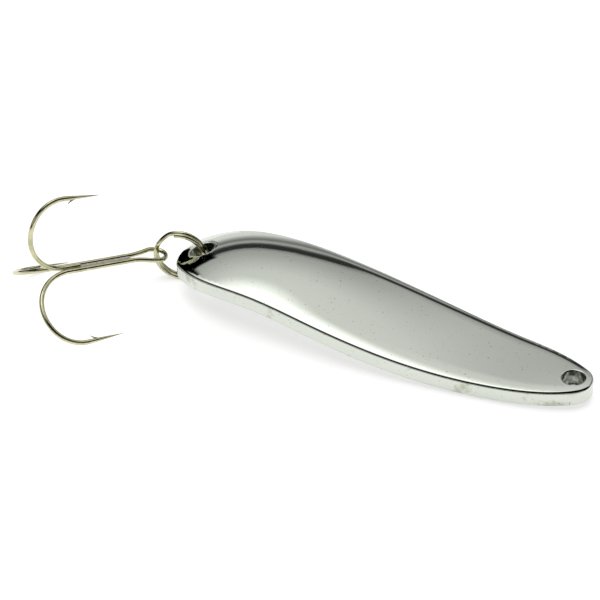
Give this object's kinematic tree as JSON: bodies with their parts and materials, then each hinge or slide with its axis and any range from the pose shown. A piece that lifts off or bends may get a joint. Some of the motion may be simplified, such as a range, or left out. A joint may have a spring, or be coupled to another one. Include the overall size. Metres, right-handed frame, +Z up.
{
  "type": "spoon lure",
  "caption": "Thick chrome-plated S-curved casting spoon with a split ring and treble hook at its wide end and a line-tie hole at its narrow end.",
  "frame": {"origin": "on the surface that the lure lies on, below the middle of its bounding box", "axes": "+X along the blade towards the line-tie end, +Z up"},
  "size_m": [0.1074, 0.0404, 0.0241],
  "materials": {
    "blade_chrome": "mirror-polished chrome plate over cast metal",
    "ring_nickel": "bright nickel plate on spring steel wire",
    "hook_nickel": "bright nickel plate on high-carbon steel wire",
    "braze_metal": "plated-over braze, slightly rough"
  },
  "bodies": {
    "blade": {"spoon_blade": "blade_chrome"},
    "ring": {"split_ring": "ring_nickel"},
    "treble": {"double_hook_wire": "hook_nickel", "single_hook_wire": "hook_nickel", "braze_fill": "braze_metal"}
  },
  "joints": [
    {"name": "ring_swing", "type": "hinge", "parent": "blade", "child": "ring", "pos_m": [-0.02603, 0.00976, 0.00515], "axis": [-0.2924, 0.9563, 0], "range_deg": [-75, 75]},
    {"name": "treble_swing", "type": "hinge", "parent": "ring", "child": "treble", "pos_m": [-0.03137, 0.00813, 0.00512], "axis": [0, 0, 1], "range_deg": [-145, 60]}
  ]
}
